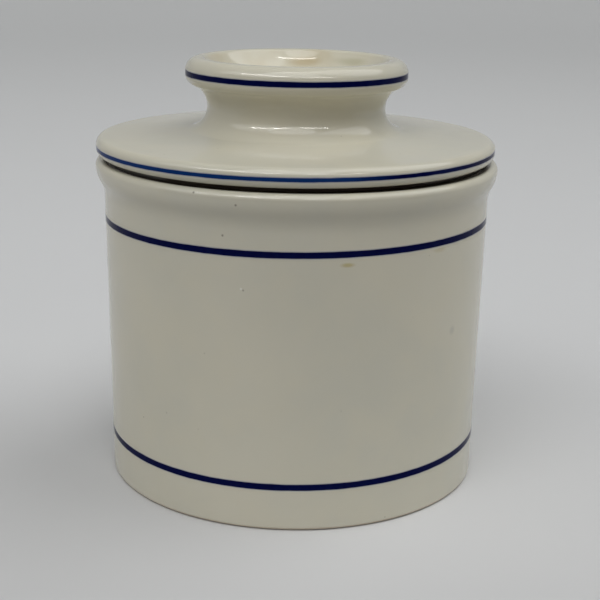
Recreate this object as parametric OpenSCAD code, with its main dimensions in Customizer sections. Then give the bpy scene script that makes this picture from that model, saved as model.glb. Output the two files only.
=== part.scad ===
// Water-sealed butter keeper: a flared stoneware crock and a lid with a bell.
// The origin is at the centre of the foot ring, on the table; +Z is up.

/* [Crock] */
// Height of the crock, from the table to the top of its rim
crock_h = 82.1; // [70:0.1:120]
// Outside diameter of the wall, just under the flare
crock_d = 98.2; // [84:0.1:130]
// How much smaller the radius is at the foot than under the flare
crock_taper = 0.95; // [0:0.05:2]
// Thickness of the wall, measured under the flare
wall_t = 4.8; // [3.5:0.1:6]
// Thickness of the floor
floor_t = 5.4; // [4:0.1:8]
// Inside radius between the floor and the wall
floor_round = 7; // [2:0.5:12]

/* [Rim and foot] */
// How far the rim stands out from the wall
rim_out = 2.1; // [1:0.1:4]
// Height of the sweep from the wall to the widest part of the rim
flare_h = 7.6; // [5:0.1:12]
// Rounding of the rim's outer edge
rim_round = 1.5; // [1:0.1:3]
// Rounding of the rim's inner edge
rim_inner_round = 1.6; // [0.5:0.1:2.4]
// Rounding of the foot's outer edge
foot_round = 1; // [0.5:0.1:3]
// Width of the flat ring that the crock stands on
foot_ring_w = 4.6; // [3:0.1:8]
// Depth of the hollow inside the foot ring
foot_hollow = 1.6; // [0.5:0.1:3]

/* [Lid disc] */
// How far the lid's edge stops short of the rim's edge
lid_setback = 0.6; // [0:0.1:2]
// Gap between the lid's seat and the top of the rim
seat_gap = 0.1; // [0.05:0.05:0.3]
// How far the seat stands down from the lid's outer underside
seat_step = 0.9; // [0.2:0.05:1.5]
// How far the seat stops short of the flat top of the rim
seat_margin = 1.8; // [0.5:0.1:2.5]
// Rounding under the lid's edge
edge_under_round = 1.9; // [1:0.1:3]
// Straight height of the lid's edge
edge_land = 0.8; // [0.6:0.1:2]
// Rounding over the lid's edge
edge_over_round = 2; // [1:0.1:3]
// Slope of the lid's top, in degrees, rising to the neck
lid_slope = 4.2; // [2:0.1:10]
// Thickness of the roof of the bell
roof_t = 5; // [4:0.1:7]

/* [Knob] */
// Largest diameter of the knob
knob_d = 56.2; // [44:0.1:68]
// How far the neck is cut in under the knob
neck_in = 5.45; // [4:0.05:7]
// Radius of the hollow round the neck
neck_round = 5.8; // [5:0.1:7]
// Rounding under the widest part of the knob
knob_under_round = 2.6; // [1.5:0.1:3]
// Straight height of the widest part of the knob
knob_land = 1.1; // [0.9:0.1:3]
// Rounding over the widest part of the knob
knob_over_round = 3.2; // [2:0.1:4]
// Width of the flat crest that the upturned lid stands on
crest_w = 0.8; // [0.6:0.1:2]
// Rounding of the crest into the dish
crest_round = 1.6; // [1:0.1:2.4]
// Depth of the dish in the top of the knob
dish_depth = 7; // [4:0.1:9]
// Radius of the sweep of the dish
dish_round = 15; // [12:0.5:18]
// Thickness of the wall left round the hollow in the neck
neck_t = 5.1; // [4:0.1:7]
// Rounding at the top of the hollow in the neck
neck_hollow_round = 6; // [2:0.5:8]
// Rounding where the hollow in the neck opens into the bell
neck_mouth_round = 4; // [1:0.5:6]

/* [Bell] */
// Gap all round between the bell and the crock's wall
bell_side_gap = 6.2; // [4:0.1:10]
// Gap between the bell's mouth and the crock's floor
bell_floor_gap = 16; // [8:0.5:24]
// Thickness of the bell's wall
bell_t = 4.2; // [3:0.1:6]
// Rounding between the bell and the lid's underside
bell_root_round = 3; // [1:0.1:4]
// Rounding inside the bell, between its wall and its roof
bell_roof_round = 8; // [3:0.5:12]

/* [Painted lines] */
// Depth of the paint and the glaze over it
line_depth = 0.2; // [0.1:0.05:0.4]
// Height of the middle of the lower line on the crock
lower_line_z = 11.3; // [6:0.1:30]
// Distance from the top of the rim down to the middle of the upper line
upper_line_drop = 14.1; // [11:0.05:30]
// Width of the two lines on the crock
crock_line_w = 1.5; // [0.8:0.05:3]
// Width of the line on the lid's edge
lid_line_w = 0.75; // [0.4:0.05:0.8]
// Width of the line on the knob
knob_line_w = 1.1; // [0.6:0.05:1.1]

/* [Hidden] */
$fn = 180;
// Distance that a cut runs past a face
over = 1;

crock_r = crock_d / 2;
foot_r = crock_r - crock_taper;
bore_r = crock_r - wall_t;
rim_r = crock_r + rim_out;
foot_hollow_r = foot_r - foot_round - foot_ring_w;
floor_z = foot_hollow + floor_t;
flare_top = crock_h - rim_round;
flare_z = flare_top - flare_h;
// Two equal arcs sweep the wall out to the rim; rounded up, so that they always meet
flare_turn = 2 * atan(rim_out / flare_h);
flare_round = ceil(1000 * flare_h / (2 * sin(flare_turn))) / 1000;
flare_in_r = crock_r + flare_round;
flare_out_r = rim_r - flare_round;
rim_flat_r = rim_r - rim_round;

seat_z = crock_h + seat_gap;
seat_r = rim_flat_r - seat_margin;
under_z = seat_z + seat_step;
lid_r = rim_r - lid_setback;
land_z = under_z + edge_under_round;
land_top = land_z + edge_land;
edge_r = lid_r - edge_over_round;
slope_r = edge_r + edge_over_round * sin(lid_slope);
slope_z = land_top + edge_over_round * cos(lid_slope);
function lid_top_z(r) = slope_z + (slope_r - r) * tan(lid_slope);

knob_r = knob_d / 2;
neck_r = knob_r - neck_in;
groove_r = neck_r + neck_round;
groove_z = lid_top_z(groove_r) + neck_round / cos(lid_slope);
bead_r = knob_r - knob_under_round;
// The hollow round the neck runs smoothly into the rounding under the knob
bead_reach = neck_round + knob_under_round;
bead_z = groove_z + sqrt(pow(bead_reach, 2) - pow(groove_r - bead_r, 2));
knob_land_top = bead_z + knob_land;
knob_top = knob_land_top + knob_over_round;
crest_out_r = knob_r - knob_over_round;
crest_in_r = crest_out_r - crest_w;
dish_z = knob_top - dish_depth;
// The dish's sweep runs smoothly into the crest's rounding
dish_reach = dish_round + crest_round;
dish_rise = dish_reach - dish_depth;
dish_flat_r = crest_in_r - sqrt(pow(dish_reach, 2) - pow(dish_rise, 2));
crest_z = knob_top - crest_round;
// Point where the dish's sweep meets the crest's rounding
sweep_share = dish_round / dish_reach;
sweep_r = dish_flat_r + (crest_in_r - dish_flat_r) * sweep_share;
sweep_z = dish_z + dish_round - dish_rise * sweep_share;

bell_r = bore_r - bell_side_gap;
cup_r = bell_r - bell_t;
mouth_z = floor_z + bell_floor_gap;
lip_round = bell_t / 2;
roof_z = lid_top_z(bell_r) - roof_t;
hollow_r = neck_r - neck_t;
hollow_z = dish_z - roof_t;

upper_line_z = crock_h - upper_line_drop;
lid_line_z = land_z + edge_land / 2;
knob_line_z = bead_z + knob_land / 2;
// Radius of the outside of the tapered wall at height z
function wall_r_at(z) = foot_r + (crock_r - foot_r) * (z - foot_round) / (flare_z - foot_round);

cream = [0.89, 0.87, 0.80];
warm_cream = [0.91, 0.89, 0.83];
cobalt = [0.07, 0.10, 0.36];

// A rectangle given by its two corners
module box2d(x0, z0, x1, z1) {
    translate([x0, z0]) square([x1 - x0, z1 - z0]);
}

module disc2d(x, z, r) {
    translate([x, z]) circle(r);
}

// Half section of the ring of paint on the tapered wall, reaching past it by extra
module wall_line_2d(z, w, extra) {
    low_z = z - w / 2;
    high_z = z + w / 2;
    polygon([
        [wall_r_at(low_z) - line_depth, low_z],
        [wall_r_at(low_z) + extra, low_z],
        [wall_r_at(high_z) + extra, high_z],
        [wall_r_at(high_z) - line_depth, high_z]
    ]);
}

// Half section of the ring of paint on a straight edge of radius r
module edge_line_2d(r, z, w, extra) {
    box2d(r - line_depth, z - w / 2, r + extra, z + w / 2);
}

// Outside of the crock, filled in
module crock_outside_2d() {
    polygon([
        [0, 0],
        [foot_r - foot_round, 0],
        [foot_r - foot_round, foot_round],
        [foot_r, foot_round],
        [crock_r, flare_z],
        [0, flare_z]
    ]);
    disc2d(foot_r - foot_round, foot_round, foot_round);
    difference() {
        box2d(0, flare_z, flare_in_r, flare_top);
        disc2d(flare_in_r, flare_z, flare_round);
        polygon([
            [flare_in_r, flare_z],
            [flare_out_r, flare_top],
            [flare_out_r, flare_top + over],
            [flare_in_r + over, flare_top + over],
            [flare_in_r + over, flare_z]
        ]);
    }
    intersection() {
        disc2d(flare_out_r, flare_top, flare_round);
        box2d(0, flare_z, rim_r, flare_top);
    }
    box2d(0, flare_top, rim_flat_r, crock_h);
    intersection() {
        disc2d(rim_flat_r, flare_top, rim_round);
        box2d(0, flare_top, rim_r, crock_h);
    }
}

// Space inside the crock, with the rounding of the rim's inner edge
module crock_inside_2d() {
    box2d(0, floor_z, bore_r - floor_round, crock_h + over);
    box2d(0, floor_z + floor_round, bore_r, crock_h + over);
    disc2d(bore_r - floor_round, floor_z + floor_round, floor_round);
    difference() {
        box2d(0, crock_h - rim_inner_round, bore_r + rim_inner_round, crock_h + over);
        disc2d(bore_r + rim_inner_round, crock_h - rim_inner_round, rim_inner_round);
    }
}

module crock() {
    color(cream) rotate_extrude() difference() {
        crock_outside_2d();
        crock_inside_2d();
        polygon([
            [0, -over],
            [foot_hollow_r + over, -over],
            [foot_hollow_r - foot_hollow, foot_hollow],
            [0, foot_hollow]
        ]);
        wall_line_2d(upper_line_z, crock_line_w, over);
        wall_line_2d(lower_line_z, crock_line_w, over);
    }
}

// The lid's disc, with its rounded edge and its seat
module disc_2d() {
    box2d(0, seat_z, seat_r, under_z);
    polygon([
        [0, under_z],
        [lid_r - edge_under_round, under_z],
        [lid_r - edge_under_round, land_z],
        [lid_r, land_z],
        [lid_r, land_top],
        [edge_r, land_top],
        [slope_r, slope_z],
        [groove_r, lid_top_z(groove_r)],
        [0, lid_top_z(groove_r)]
    ]);
    disc2d(lid_r - edge_under_round, land_z, edge_under_round);
    disc2d(edge_r, land_top, edge_over_round);
}

// The neck and the knob, with the dish in its top
module knob_2d() {
    difference() {
        union() {
            difference() {
                box2d(0, land_top, groove_r, bead_z);
                disc2d(groove_r, groove_z, neck_round);
                polygon([
                    [groove_r, groove_z],
                    [bead_r, bead_z],
                    [bead_r, bead_z + over],
                    [knob_r + neck_round, bead_z + over],
                    [knob_r + neck_round, groove_z]
                ]);
                box2d(groove_r, groove_z - neck_round, knob_r + neck_round, bead_z + over);
            }
            disc2d(bead_r, bead_z, knob_under_round);
            box2d(0, bead_z, knob_r, knob_land_top);
            box2d(0, knob_land_top, crest_out_r, knob_top);
            disc2d(crest_out_r, knob_land_top, knob_over_round);
        }
        dish_2d();
    }
}

// The dish in the top of the knob
module dish_2d() {
    difference() {
        union() {
            disc2d(dish_flat_r, dish_z + dish_round, dish_round);
            polygon([
                [0, dish_z],
                [dish_flat_r, dish_z],
                [sweep_r, sweep_z],
                [crest_in_r, crest_z],
                [crest_in_r, knob_top + over],
                [0, knob_top + over]
            ]);
        }
        disc2d(crest_in_r, crest_z, crest_round);
    }
}

// The wall of the bell, filled in, with its round lip
module bell_2d() {
    box2d(0, mouth_z + lip_round, bell_r, under_z);
    disc2d(bell_r - lip_round, mouth_z + lip_round, lip_round);
    difference() {
        box2d(bell_r, seat_z - bell_root_round, bell_r + bell_root_round, under_z);
        disc2d(bell_r + bell_root_round, seat_z - bell_root_round, bell_root_round);
    }
}

// Space inside the bell and the hollow in the neck above it
module cup_2d() {
    box2d(0, mouth_z - over, cup_r, roof_z - bell_roof_round);
    box2d(0, mouth_z, cup_r - bell_roof_round, roof_z);
    disc2d(cup_r - bell_roof_round, roof_z - bell_roof_round, bell_roof_round);
    box2d(0, mouth_z, hollow_r, hollow_z - neck_hollow_round);
    box2d(0, mouth_z, hollow_r - neck_hollow_round, hollow_z);
    disc2d(hollow_r - neck_hollow_round, hollow_z - neck_hollow_round, neck_hollow_round);
    difference() {
        box2d(0, roof_z - over, hollow_r + neck_mouth_round, roof_z + neck_mouth_round);
        disc2d(hollow_r + neck_mouth_round, roof_z + neck_mouth_round, neck_mouth_round);
    }
}

module bell_lid() {
    color(warm_cream) rotate_extrude() difference() {
        union() {
            disc_2d();
            knob_2d();
            bell_2d();
        }
        cup_2d();
        edge_line_2d(lid_r, lid_line_z, lid_line_w, over);
        edge_line_2d(knob_r, knob_line_z, knob_line_w, over);
    }
}

module crock_upper_band() {
    color(cobalt) rotate_extrude() wall_line_2d(upper_line_z, crock_line_w, 0);
}

module crock_lower_band() {
    color(cobalt) rotate_extrude() wall_line_2d(lower_line_z, crock_line_w, 0);
}

module lid_band() {
    color(cobalt) rotate_extrude() edge_line_2d(lid_r, lid_line_z, lid_line_w, 0);
}

module knob_band() {
    color(cobalt) rotate_extrude() edge_line_2d(knob_r, knob_line_z, knob_line_w, 0);
}

crock();
bell_lid();
crock_upper_band();
crock_lower_band();
lid_band();
knob_band();
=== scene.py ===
"""A water-sealed butter keeper of glazed stoneware: a flared crock, and a lid whose bell hangs in it."""
import math

import bmesh
import bpy
from mathutils import Matrix, Vector, noise


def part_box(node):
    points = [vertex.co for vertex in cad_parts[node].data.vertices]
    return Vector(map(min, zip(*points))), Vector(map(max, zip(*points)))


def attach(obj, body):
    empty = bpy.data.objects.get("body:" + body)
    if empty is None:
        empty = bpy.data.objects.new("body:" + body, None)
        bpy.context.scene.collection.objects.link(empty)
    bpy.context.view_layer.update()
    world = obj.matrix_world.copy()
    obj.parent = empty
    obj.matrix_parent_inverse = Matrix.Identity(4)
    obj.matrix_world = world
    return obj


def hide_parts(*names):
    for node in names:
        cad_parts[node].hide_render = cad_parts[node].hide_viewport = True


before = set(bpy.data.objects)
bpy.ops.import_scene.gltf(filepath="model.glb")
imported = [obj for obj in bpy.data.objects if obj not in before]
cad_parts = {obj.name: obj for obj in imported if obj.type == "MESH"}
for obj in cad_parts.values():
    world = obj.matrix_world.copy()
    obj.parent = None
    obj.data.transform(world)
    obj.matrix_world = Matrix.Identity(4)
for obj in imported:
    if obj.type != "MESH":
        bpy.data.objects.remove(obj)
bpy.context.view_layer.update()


# --- Camera -------------------------------------------------------------------------------------
# A standing viewer's eye, a forearm away and a little above the knob. The camera leans one degree
# to its left, as a hand-held one does.
camera_data = bpy.data.cameras.new("camera")
camera_data.lens, camera_data.sensor_width = 78, 36
camera_data.clip_start, camera_data.clip_end = 0.01, 20
camera = bpy.data.objects.new("camera", camera_data)
bpy.context.scene.collection.objects.link(camera)
camera_place = Vector((0.0014, -0.3314, 0.1383))
look_down, lean = math.radians(15.93), math.radians(1.0)
camera.matrix_world = (
    Matrix.Translation(camera_place)
    @ Matrix.Rotation(math.pi / 2 - look_down, 4, "X")
    @ Matrix.Rotation(lean, 4, "Z")
)
bpy.context.scene.camera = camera
bpy.context.scene.view_settings.view_transform = "Standard"


# --- Crock --------------------------------------------------------------------------------------
# The crock is one fired piece of cream-glazed stoneware, slip cast in a plaster mould: a nearly
# straight wall, a flared and rolled rim, a floor set up inside a foot ring. The ring is wiped bare
# of glaze, so that it doesn't stick to the kiln shelf.
mm = 0.001
crock_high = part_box("crock")[1]
rim_r, crock_h = crock_high[0], crock_high[2]
wall_r = rim_r - 2.1 * mm
foot_r = wall_r - 0.95 * mm
bore_r = wall_r - 4.8 * mm
foot_round, foot_ring_w, foot_hollow = 1.0 * mm, 4.6 * mm, 1.6 * mm
foot_rest_z, foot_corner, hollow_corner, hollow_slope_w = 0.062 * mm, 0.3 * mm, 0.8 * mm, 2.0 * mm
ring_in_r = foot_r - foot_round - foot_ring_w
hollow_flat_r = ring_in_r - hollow_slope_w
floor_z, floor_round = 7.0 * mm, 7.0 * mm
rim_round, rim_inner_round = 1.5 * mm, 1.6 * mm
flare_h = 7.6 * mm
flare_turn = 2 * math.atan((rim_r - wall_r) / flare_h)
flare_round = flare_h / (2 * math.sin(flare_turn))
flare_top = crock_h - rim_round


class HalfSection:
    """Half of a turned shape's section, drawn in the XZ plane from the axis, one stretch at a time."""

    def __init__(self, x, z):
        self.bm = bmesh.new()
        self.tip = self.bm.verts.new((x, 0, z))

    def line(self, x, z):
        """Draws a straight stretch to a point, cut into short pieces."""
        start = self.tip.co.copy()
        end = Vector((x, 0, z))
        pieces = max(1, round((end - start).length / (1.9 * mm)))
        for i in range(pieces):
            self.tip = bmesh.ops.extrude_vert_indiv(self.bm, verts=[self.tip])["verts"][0]
            self.tip.co = start.lerp(end, (i + 1) / pieces)

    def arc(self, x, z, turn):
        """Draws an arc about a centre; a positive turn is clockwise, with +X right and +Z up."""
        steps = max(3, round(abs(math.degrees(turn)) / 6))
        made = bmesh.ops.spin(
            self.bm, geom=[self.tip], cent=(x, 0, z), axis=(0, 1, 0), angle=turn, steps=steps
        )
        self.tip = made["geom_last"][0]

    def lathe(self, centre=(0, 0, 0), steps=224):
        """Turns the section into a closed solid about the upright axis."""
        bmesh.ops.spin(
            self.bm, geom=self.bm.verts[:] + self.bm.edges[:], cent=(0, 0, 0), axis=(0, 0, 1),
            angle=math.tau, steps=steps, use_merge=True,
        )
        bmesh.ops.remove_doubles(self.bm, verts=self.bm.verts, dist=0.002 * mm)
        bmesh.ops.recalc_face_normals(self.bm, faces=self.bm.faces)
        bmesh.ops.translate(self.bm, verts=self.bm.verts, vec=centre)
        return self.bm


noise.seed_set(5)  # the kiln moves the clay alike in every run


def kiln_shift(place):
    """How far the kiln moved the clay at a place: alike for every piece there, and not up at the foot."""
    waves_per_metre, most = 21, 0.11 * mm
    shift = noise.noise_vector(place * waves_per_metre) * most
    shift.z *= min(1, place.z / (20 * mm))
    return shift


def fire(bm, name, finish, body, node):
    """Lets a shape move as in the kiln, and makes it the piece that stands for a CAD node."""
    for vert in bm.verts:
        vert.co += kiln_shift(vert.co)
    for face in bm.faces:
        face.smooth = True
    mesh = bpy.data.meshes.new(name)
    bm.to_mesh(mesh)
    bm.free()
    mesh.set_sharp_from_angle(angle=math.radians(30))
    piece = bpy.data.objects.new(name, mesh)
    bpy.context.scene.collection.objects.link(piece)
    mesh.materials.append(finish)
    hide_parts(node)
    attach(piece, body)
    return piece


class Wire:
    """A socket that takes part in sums: each operator adds its Math node."""

    def __init__(self, finish, socket):
        self.finish, self.socket = finish, socket

    def maths(self, operation, *values):
        return self.finish.add("ShaderNodeMath", {"operation": operation}, dict(enumerate(values)))

    def __add__(self, other):
        return self.maths("ADD", self, other)

    def __sub__(self, other):
        return self.maths("SUBTRACT", self, other)

    def __rsub__(self, other):
        return self.maths("SUBTRACT", other, self)

    def __mul__(self, other):
        return self.maths("MULTIPLY", self, other)

    def __abs__(self):
        return self.maths("ABSOLUTE", self)

    __radd__, __rmul__ = __add__, __mul__


class Finish:
    """A material, with the one method that adds its nodes and the patterns that several pieces share."""

    def __init__(self, name):
        self.material = bpy.data.materials.new(name)
        self.material.use_nodes = True
        self.tree = self.material.node_tree
        self.shader = self.tree.nodes["Principled BSDF"]
        self.place = self.add("ShaderNodeTexCoord", out="Object")
        split = self.add("ShaderNodeSeparateXYZ", inputs={0: self.place}).socket.node
        self.x, self.y, self.z = (Wire(self, socket) for socket in split.outputs)

    def add(self, kind, settings=None, inputs=None, out=0):
        node = self.tree.nodes.new(kind)
        for key, value in (settings or {}).items():
            if key == "stops":
                for element, (position, colour) in zip(node.color_ramp.elements, value):
                    element.position, element.color = position, (*colour, 1)
            else:
                setattr(node, key, value)
        self.feed(node, inputs or {})
        return Wire(self, node.outputs[out])

    def feed(self, node, inputs):
        for key, value in inputs.items():
            if isinstance(value, Wire):
                self.tree.links.new(value.socket, node.inputs[key])
            else:
                node.inputs[key].default_value = value

    def clouds(self, scale, detail=2.0, place=None):
        """Soft noise from 0 to 1, with patches of about 1/scale metres."""
        return self.add(
            "ShaderNodeTexNoise", inputs={"Vector": place or self.place, "Scale": scale, "Detail": detail}
        )

    def step(self, value, low, high):
        """0 below low, 1 above high, and smooth between them; low may be the higher one."""
        return self.add(
            "ShaderNodeMapRange", {"interpolation_type": "SMOOTHSTEP"}, {0: value, 1: low, 2: high}
        )

    def blend(self, share, first, second):
        """Mixes two colours."""
        first, second = ((*c, 1) if isinstance(c, tuple) else c for c in (first, second))
        return self.add("ShaderNodeMix", {"data_type": "RGBA"}, {0: share, 6: first, 7: second}, out=2)

    def dots(self, scale, size, offset):
        """Tiny round spots of up to that radius, scattered through space about 1/scale metres apart."""
        moved = self.add("ShaderNodeVectorMath", inputs={0: self.place, 1: (offset, offset, offset)})
        cells = self.add("ShaderNodeTexVoronoi", inputs={"Vector": moved, "Scale": scale})
        return self.step(cells, size * scale, 0.45 * size * scale)

    def spot(self, place, size, turn=0.0):
        """1 at a place, fading to 0 at the size in X, Y and Z; turned about the upright if need be."""
        mapped = self.add(
            "ShaderNodeMapping", {"vector_type": "TEXTURE"},
            {"Vector": self.place, "Location": place, "Scale": size, "Rotation": (0, 0, turn)},
        )
        away = self.add("ShaderNodeVectorMath", {"operation": "LENGTH"}, {0: mapped}, out="Value")
        return self.step(away, 1.0, 0.2)

    def marks(self, colour, paint, share, size, places):
        """Puts a soft round mark of some radius on a colour at each place, both in millimetres."""
        for x, y, z in places:
            there = self.spot((x * mm, y * mm, z * mm), (size * mm, size * mm, size * mm))
            colour = self.blend(there * share, colour, paint)
        return colour

    def radius(self):
        """Distance from the upright axis."""
        squared = self.x * self.x + self.y * self.y
        return squared.maths("SQRT", squared)


cream = (0.635, 0.610, 0.503)
cream_grey = (0.595, 0.580, 0.487)
cream_warm = (0.655, 0.615, 0.480)
iron_brown = (0.080, 0.062, 0.040)
pinhole_white = (0.800, 0.790, 0.740)
stain_tan = (0.400, 0.285, 0.110)
stain_yellow = (0.480, 0.410, 0.190)
stain_olive = (0.330, 0.320, 0.170)
stain_grey = (0.400, 0.395, 0.360)
# Painted shade: a near-black brown that stands in for the dark of the gap between the lid and the rim
painted_gap_shade = (0.045, 0.030, 0.018)
bare_clay = (0.610, 0.545, 0.440)
clay_grit = (0.500, 0.430, 0.340)


def glaze_colour(finish):
    """Cream glaze, a little greyer and warmer in patches, with iron specks and pale pinholes."""
    patches = finish.step(finish.clouds(26, 3), 0.35, 0.7)
    mottle = finish.step(finish.clouds(120, 4), 0.3, 0.75)
    colour = finish.blend(patches, cream, cream_grey)
    colour = finish.blend(mottle * 0.3, colour, cream_warm)
    specks = finish.dots(230, 0.22 * mm, 0.013) * finish.step(finish.clouds(60), 0.46, 0.66)
    colour = finish.blend(specks * 0.55, colour, iron_brown)
    pale = finish.dots(170, 0.22 * mm, 0.031) * finish.step(finish.clouds(45), 0.5, 0.7)
    return finish.blend(pale * 0.7, colour, pinhole_white), specks


def glaze_surface(finish, colour, pits, bare=None, painted_shade=None):
    """A glossy glaze with a pit at each speck, dry rough clay where it is bare, and painted shade on
    either.
    """
    gloss = 0.05 + finish.clouds(70, 3) * 0.07
    height = finish.clouds(240, 2) * 0.4 + finish.clouds(75, 2) * 1.2 - pits * 0.9
    if bare is not None:
        grit = finish.clouds(2600, 3)
        clay = finish.blend(finish.step(grit, 0.3, 0.75) * 0.5, bare_clay, clay_grit)
        colour = finish.blend(bare, colour, clay)
        gloss = gloss + bare * 0.72
        height = height + grit * bare * 2.2
    # Painted shade: the dark of a gap, laid over glaze or clay
    if painted_shade is not None:
        colour = finish.blend(painted_shade, colour, painted_gap_shade)
    normal = finish.add("ShaderNodeBump", inputs={"Strength": 1.0, "Distance": 0.02 * mm, "Height": height})
    finish.feed(finish.shader, {"Base Color": colour, "Roughness": gloss, "Normal": normal, "IOR": 1.5})


crock_finish = Finish("crock_glaze")
crock_colour, crock_pits = glaze_colour(crock_finish)
# An old butter stain under the upper line, and a fainter one to its right
crock_stain = crock_finish.spot((12.0 * mm, -47.4 * mm, 65.6 * mm), (2.3 * mm, 2.3 * mm, 0.8 * mm))
faint_stain = crock_finish.spot((33.9 * mm, -35.3 * mm, 66.7 * mm), (3.0 * mm, 3.0 * mm, 1.0 * mm))
crock_colour = crock_finish.blend(crock_stain * 0.8 + faint_stain * 0.35, crock_colour, stain_yellow)
# Specks that show, a pinhole, and one grey smear
crock_colour = crock_finish.marks(crock_colour, iron_brown, 0.6, 0.42, (
    (-16.3, -46.3, 71.7), (-13.8, -46.4, 46.9), (-20.5, -43.9, 43.0), (-30.1, -37.7, 25.7),
    (-7.4, -47.6, 32.9), (-22.8, -45.6, 81.3), (-13.2, -49.3, 79.3), (-11.5, -47.4, 59.3),
))
crock_colour = crock_finish.marks(crock_colour, pinhole_white, 0.8, 0.45, ((-12.0, -47.3, 59.6),))
crock_colour = crock_finish.marks(crock_colour, stain_grey, 0.35, 1.6, ((38.3, -29.9, 45.3),))
# Painted shade on the rim, in a ring that the edge of the lid covers, for the dark gap under the lid
ring_r = crock_finish.radius()
shade_out_r, shade_in_r = rim_r - 1.5 * mm, rim_r - 4.6 * mm
rim_painted_shade = crock_finish.step(crock_finish.z, crock_h - 0.25 * mm, crock_h - 0.1 * mm)
rim_painted_shade = rim_painted_shade * crock_finish.step(ring_r, shade_out_r, shade_out_r - 0.7 * mm)
rim_painted_shade = rim_painted_shade * crock_finish.step(ring_r, shade_in_r, shade_in_r + 1.2 * mm)
crock_colour = crock_finish.blend(rim_painted_shade * 0.9, crock_colour, painted_gap_shade)
# The foot ring, wiped bare: outside the hollow, and up to an uneven edge just over the table
wiped_z = 0.5 * mm + crock_finish.clouds(90) * 0.5 * mm
foot_bare = crock_finish.step(crock_finish.z - wiped_z, 0.12 * mm, 0.0)
foot_bare = foot_bare * crock_finish.step(ring_r, hollow_flat_r - 0.6 * mm, hollow_flat_r + 0.4 * mm)
glaze_surface(crock_finish, crock_colour, crock_pits, foot_bare)

corner_r, corner_z = ring_in_r + 0.312 * mm, foot_rest_z + foot_corner
corner_start = foot_corner * math.sin(math.radians(45))
section = HalfSection(0, foot_hollow)
section.line(hollow_flat_r, foot_hollow)
section.arc(hollow_flat_r, foot_hollow - hollow_corner, math.radians(45))
section.line(corner_r - corner_start, corner_z - corner_start)
section.arc(corner_r, corner_z, math.radians(-45))
section.line(foot_r - foot_round, foot_rest_z)
section.arc(foot_r - foot_round, foot_rest_z + foot_round, math.radians(-90))
section.line(wall_r, flare_top - flare_h)
section.arc(wall_r + flare_round, flare_top - flare_h, flare_turn)
section.arc(rim_r - flare_round, flare_top, -flare_turn)
section.arc(rim_r - rim_round, flare_top, math.radians(-90))
section.line(bore_r + rim_inner_round, crock_h)
section.arc(bore_r + rim_inner_round, crock_h - rim_inner_round, math.radians(-90))
section.line(bore_r, floor_z + floor_round)
section.arc(bore_r - floor_round, floor_z + floor_round, math.radians(90))
section.line(0, floor_z)
fire(section.lathe(), "glazed_crock", crock_finish.material, "crock", "crock")


# --- Lines on the crock -------------------------------------------------------------------------
# Two cobalt lines, banded with a loaded brush while the crock turned on a wheel, under the clear
# glaze. The brush ran level to within half a degree. The edges bled a little into the glaze.
cobalt_deep = (0.0004, 0.0004, 0.036)
cobalt_thin = (0.0050, 0.0330, 0.150)
cobalt_bleed = (0.230, 0.260, 0.400)
line_lift, line_sink, line_margin = 0.02 * mm, 0.22 * mm, 0.5 * mm


def cobalt_finish(name, middle, width, tilt, thin_share, dry):
    """Cobalt between two soft, wavering edges, on the same glaze; thinner to the left if it ran dry."""
    finish = Finish(name)
    colour, pits = glaze_colour(finish)
    waver = (finish.clouds(330, 3) - 0.5) * 0.22 * mm
    off = abs(finish.z - finish.x * math.tan(tilt) - middle + waver * 0.5)
    edge = width / 2 + (finish.clouds(180, 2) - 0.5) * 0.14 * mm
    painted = finish.step(off - edge, 0.06 * mm, -0.06 * mm)
    bled = finish.step(off - edge, 0.4 * mm, 0.0)
    depth = finish.step(finish.clouds(34, 3) + finish.x * dry, thin_share, thin_share + 0.3)
    cobalt = finish.blend(depth * 0.85 + finish.clouds(900, 2) * 0.15, cobalt_thin, cobalt_deep)
    colour = finish.blend(bled * 0.55, colour, cobalt_bleed)
    glaze_surface(finish, finish.blend(painted, colour, cobalt), pits)
    finish.feed(finish.shader, {"Specular IOR Level": 0.03})
    return finish.material


def band(
    name, node, body, paint, rest, tilt=0.0, thin_share=0.08, dry=0.0, slope=0.0, over=0.0, under=0.0
):
    """A thin ring of glaze with the line in it, let into a wall, or an edge rounded over and under."""
    low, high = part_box(node)
    middle, land = (low[2] + high[2]) / 2, (high[2] - low[2]) / 2
    reach = paint / 2 + line_margin
    r = high[0] - slope * land
    if over:
        turn_over, turn_under = math.asin((reach - land) / over), math.asin((reach - land) / under)
        outline = HalfSection(r - under * (1 - math.cos(turn_under)) - line_sink, middle - reach)
        base = outline.tip
        outline.line(r - under + (under + line_lift) * math.cos(turn_under), middle - reach)
        outline.arc(r - under, middle - land, -turn_under)
        outline.line(r + line_lift, middle + land)
        outline.arc(r - over, middle + land, -turn_over)
    else:
        outline = HalfSection(r - slope * reach - line_sink, middle - reach)
        base = outline.tip
        outline.line(r - slope * reach + line_lift, middle - reach)
        outline.line(r + slope * reach + line_lift, middle + reach)
    outline.line(outline.tip.co.x - line_sink, outline.tip.co.z)
    outline.bm.edges.new((outline.tip, base))
    bm = outline.lathe(rest)
    bmesh.ops.rotate(bm, verts=bm.verts, cent=(0, 0, middle), matrix=Matrix.Rotation(-tilt, 3, "Y"))
    finish = cobalt_finish(name + "_cobalt", middle, paint, tilt, thin_share, dry)
    return fire(bm, name, finish, body, node)


wall_slope = (wall_r - foot_r) / (flare_top - flare_h - foot_round)
crock_rest = (0, 0, 0)
band("upper_line", "crock_upper_band", "crock", 1.5 * mm, crock_rest, math.radians(0.5), slope=wall_slope)
band("lower_line", "crock_lower_band", "crock", 1.57 * mm, crock_rest, math.radians(0.25), slope=wall_slope)


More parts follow.
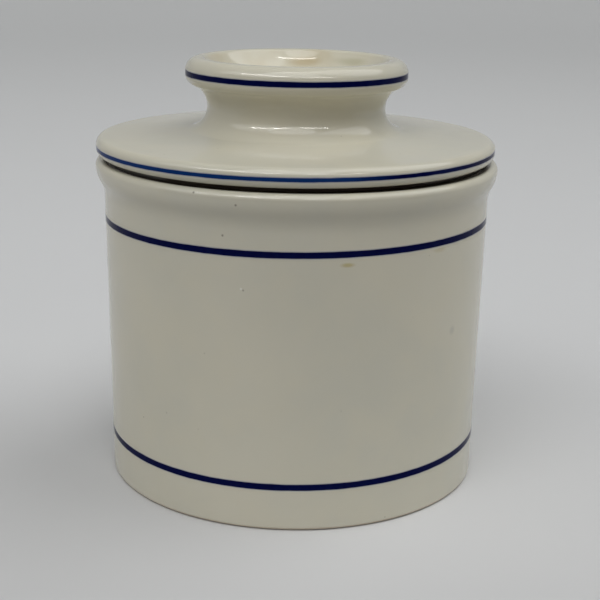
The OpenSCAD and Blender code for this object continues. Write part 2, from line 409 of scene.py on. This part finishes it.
# --- Bell lid -----------------------------------------------------------------------------------
# The lid is one fired piece: a flat disc with a rounded edge, a waisted neck and a wide dished
# knob above it, and the bell below it, which holds the butter. It rests a hair to the left.
# Its seat is wiped bare. Greasy fingers and tea have stained the dish of the knob.
lid_low, lid_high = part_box("bell_lid")
lid_r, knob_top, mouth_z = lid_high[0], lid_high[2], lid_low[2]
knob_line_low, knob_line_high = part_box("knob_band")
lid_line_low, lid_line_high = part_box("lid_band")
lid_rest = (-0.37 * mm, 0, 0)

knob_r, bead_z, bead_top = knob_line_high[0], knob_line_low[2], knob_line_high[2]
bead_under, bead_over = 2.6 * mm, knob_top - bead_top
crest_w, crest_round = 0.8 * mm, 1.6 * mm
crest_in_r = knob_r - bead_over - crest_w
dish_depth, dish_round = 7.0 * mm, 15.0 * mm
dish_z = knob_top - dish_depth
dish_turn = math.acos((dish_round + crest_round - dish_depth) / (dish_round + crest_round))
dish_flat_r = crest_in_r - (dish_round + crest_round) * math.sin(dish_turn)

lid_slope = math.radians(4.2)
lid_edge_z = (lid_line_low[2] + lid_line_high[2]) / 2
edge_land, edge_over, edge_under = 0.8 * mm, 2.0 * mm, 1.9 * mm
edge_top = lid_edge_z + edge_land / 2
edge_foot = lid_edge_z - edge_land / 2
slope_r = lid_r - edge_over + edge_over * math.sin(lid_slope)
slope_z = edge_top + edge_over * math.cos(lid_slope)

neck_round, neck_r = 5.8 * mm, knob_r - 5.45 * mm
groove_r = neck_r + neck_round
groove_z = slope_z + (slope_r - groove_r) * math.tan(lid_slope) + neck_round / math.cos(lid_slope)
bead_turn = math.atan2(bead_z - groove_z, groove_r - knob_r + bead_under)
seat_step, seat_z, seat_r = 0.9 * mm, crock_h + 0.1 * mm, rim_r - rim_round - 1.8 * mm
bell_r, bell_t, bell_root = bore_r - 6.2 * mm, 4.2 * mm, 3.0 * mm
cup_r, lip_round = bell_r - bell_t, bell_t / 2
disc_t, neck_t = 5.0 * mm, 5.1 * mm
roof_z = slope_z + (slope_r - bell_r) * math.tan(lid_slope) - disc_t
roof_round, mouth_round = 8.0 * mm, 4.0 * mm
hollow_r, hollow_z, hollow_round = neck_r - neck_t, dish_z - disc_t, 6.0 * mm

section = HalfSection(0, dish_z)
section.line(dish_flat_r, dish_z)
section.arc(dish_flat_r, dish_z + dish_round, -dish_turn)
section.arc(crest_in_r, knob_top - crest_round, dish_turn)
section.line(crest_in_r + crest_w, knob_top)
section.arc(crest_in_r + crest_w, bead_top, math.radians(90))
section.line(knob_r, bead_z)
section.arc(knob_r - bead_under, bead_z, bead_turn)
section.arc(groove_r, groove_z, lid_slope - math.pi / 2 - bead_turn)
section.line(slope_r, slope_z)
section.arc(lid_r - edge_over, edge_top, math.pi / 2 - lid_slope)
section.line(lid_r, edge_foot)
section.arc(lid_r - edge_under, edge_foot, math.radians(90))
section.line(seat_r, seat_z + seat_step)
section.line(seat_r, seat_z)
section.line(bell_r + bell_root, seat_z)
section.arc(bell_r + bell_root, seat_z - bell_root, math.radians(-90))
section.line(bell_r, mouth_z + lip_round)
section.arc(bell_r - lip_round, mouth_z + lip_round, math.radians(180))
section.line(cup_r, roof_z - roof_round)
section.arc(cup_r - roof_round, roof_z - roof_round, math.radians(-90))
section.line(hollow_r + mouth_round, roof_z)
section.arc(hollow_r + mouth_round, roof_z + mouth_round, math.radians(90))
section.line(hollow_r, hollow_z - hollow_round)
section.arc(hollow_r - hollow_round, hollow_z - hollow_round, math.radians(-90))
section.line(0, hollow_z)

lid_finish = Finish("lid_glaze")
lid_colour, lid_pits = glaze_colour(lid_finish)
ring_r = lid_finish.radius()
# Tea-coloured stains in the dish, under its crest, and one blotch and an olive streak at its back
in_dish = lid_finish.step(ring_r, crest_in_r + 1.0 * mm, crest_in_r - 1.5 * mm)
in_dish = in_dish * lid_finish.step(lid_finish.z, dish_z - 2.0 * mm, dish_z - 1.0 * mm)
blotches = lid_finish.step(lid_finish.clouds(85, 4), 0.42, 0.72)
lid_colour = lid_finish.blend(in_dish * (0.1 + blotches * 0.6) * 0.4, lid_colour, stain_tan)
tan_blotch = lid_finish.spot((1.5 * mm, 20.6 * mm, 104.0 * mm), (6.5 * mm, 3.0 * mm, 2.2 * mm))
lid_colour = lid_finish.blend(tan_blotch * 0.42, lid_colour, stain_tan)
olive_streak = lid_finish.spot(
    (13.7 * mm, 15.4 * mm, 104.9 * mm), (7.5 * mm, 3.0 * mm, 1.5 * mm), math.radians(-33)
)
lid_colour = lid_finish.blend(olive_streak * 0.4, lid_colour, stain_olive)
lid_colour = lid_finish.marks(lid_colour, iron_brown, 0.7, 0.4, ((-12.9, -25.1, 88.5),))
seat_bare = lid_finish.step(abs(lid_finish.z - seat_z), 0.5 * mm, 0.3 * mm)
seat_bare = seat_bare * lid_finish.step(ring_r, bell_r + bell_root, bell_r + bell_root + 0.8 * mm)
seat_bare = seat_bare * lid_finish.step(ring_r, seat_r + 0.3 * mm, seat_r - 0.2 * mm)
# Painted shade of the same dark gap round the outer edge of the seat, and a little way out under the lid
seat_painted_shade = lid_finish.step(ring_r, seat_r - 0.8 * mm, seat_r - 0.3 * mm)
seat_painted_shade = seat_painted_shade * lid_finish.step(ring_r, rim_r, rim_r - 1.6 * mm)
under_z = seat_z + seat_step
seat_painted_shade = seat_painted_shade * lid_finish.step(lid_finish.z, under_z + 0.4 * mm, under_z + 0.1 * mm)
glaze_surface(lid_finish, lid_colour, lid_pits, seat_bare, seat_painted_shade * 0.9)
fire(section.lathe(lid_rest), "glazed_lid", lid_finish.material, "lid", "bell_lid")


# --- Lines on the lid ---------------------------------------------------------------------------
# Two more cobalt lines: a fine one round the lid's edge, paler where the brush ran dry, and a
# broad dark one round the widest part of the knob.
band(
    "lid_line", "lid_band", "lid", 0.92 * mm, lid_rest, math.radians(0.2), 0.42, 8.0,
    over=edge_over, under=edge_under,
)
band("knob_line", "knob_band", "lid", 1.32 * mm, lid_rest, over=bead_over, under=bead_under)


# --- Studio -------------------------------------------------------------------------------------
# A pale paper sweep with nothing on it, broad soft light from above and the sides, long narrow
# lights that show in the glaze, and a low dark flag in front that keeps light from under the rims.
paper = Finish("sweep_paper")
paper_colour = paper.blend(paper.clouds(9, 2), (0.684, 0.690, 0.697), (0.709, 0.715, 0.724))
# Painted shade: the paper is painted darker the farther it lies from the object, as though less light
# reached it
far_shade = paper.step(paper.radius(), -0.6, 1.4)
paper_colour = paper.blend(far_shade, paper_colour, (0.425, 0.430, 0.432))
paper.feed(paper.shader, {"Base Color": paper_colour, "Roughness": 0.85})


def stage_piece(name, bm, material):
    """Makes a smooth surface that belongs to the studio only."""
    for face in bm.faces:
        face.smooth = True
    mesh = bpy.data.meshes.new(name)
    bm.to_mesh(mesh)
    bm.free()
    mesh.materials.append(material)
    piece = bpy.data.objects.new(name, mesh)
    bpy.context.scene.collection.objects.link(piece)
    return piece


sweep = HalfSection(0, 0)
for r, z in ((0.3, 0), (1.5, 0), (1.8, 0.07), (2.05, 0.3), (2.15, 1.2)):  # metres
    sweep.tip = bmesh.ops.extrude_vert_indiv(sweep.bm, verts=[sweep.tip])["verts"][0]
    sweep.tip.co = (r, 0, z)
stage_piece("paper_sweep", sweep.lathe(steps=96), paper.material)

flag_cloth = Finish("flag_cloth")
flag_r, flag_low_z, flag_high_z, flag_half = 0.29, 0.01, 0.22, math.radians(75)
flag_cloth.feed(flag_cloth.shader, {"Base Color": (0.095, 0.066, 0.058, 1), "Roughness": 1.0})
flag_edge = bmesh.new()
start = Matrix.Rotation(-flag_half, 3, "Z") @ Vector((0, -flag_r, 0))
foot = flag_edge.verts.new(start + Vector((0, 0, flag_low_z)))
top = flag_edge.verts.new(start + Vector((0, 0, flag_high_z)))
bmesh.ops.spin(
    flag_edge, geom=[foot, top, flag_edge.edges.new((foot, top))], cent=(0, 0, 0), axis=(0, 0, 1),
    angle=2 * flag_half, steps=48,
)
flag = stage_piece("front_flag", flag_edge, flag_cloth.material)
flag.visible_camera = flag.visible_shadow = False


def lamp(name, kind, azimuth, elevation, power, colour, size=None):
    """A light that shines at the object; azimuth 0 is the front, 90 the right."""
    distance = 1.4
    data = bpy.data.lights.new(name, kind)
    data.energy, data.color = power, colour
    if size:
        data.shape, data.size, data.size_y = "RECTANGLE", size[0], size[1]
    shining = bpy.data.objects.new(name, data)
    bpy.context.scene.collection.objects.link(shining)
    a, e = math.radians(azimuth), math.radians(elevation)
    back = Vector((math.sin(a) * math.cos(e), -math.cos(a) * math.cos(e), math.sin(e)))
    shining.location = Vector((0, 0, 0.06)) + back * distance
    shining.rotation_mode = "QUATERNION"
    shining.rotation_quaternion = back.to_track_quat("Z", "Y")
    return shining


daylight, warm = (1.0, 1.0, 0.99), (1.0, 0.975, 0.93)
for name, azimuth, elevation, power, spread in (
    ("ceiling_front", -8, 56, 1.22, 46),
    ("ceiling_side", 96, 55, 1.05, 54),
    ("side_fill", -60, 24, 1.25, 64),
):
    lamp(name, "SUN", azimuth, elevation, power, daylight).data.angle = math.radians(spread)
# The strips only make the highlights in the glaze
for name, azimuth, elevation, power, size in (
    ("overhead_strip", 0, 83, 1.7, (0.7, 0.07)),
    ("front_left_strip", -38, 43, 4.6, (1.1, 0.05)),
    ("front_right_strip", 25, 38, 3.4, (0.8, 0.05)),
):
    lamp(name, "AREA", azimuth, elevation, power, warm, size=size).visible_diffuse = False

world = bpy.data.worlds.new("room")
world.use_nodes = True
world.node_tree.nodes["Background"].inputs["Color"].default_value = (0.82, 0.84, 0.87, 1)
world.node_tree.nodes["Background"].inputs["Strength"].default_value = 0.19
bpy.context.scene.world = world
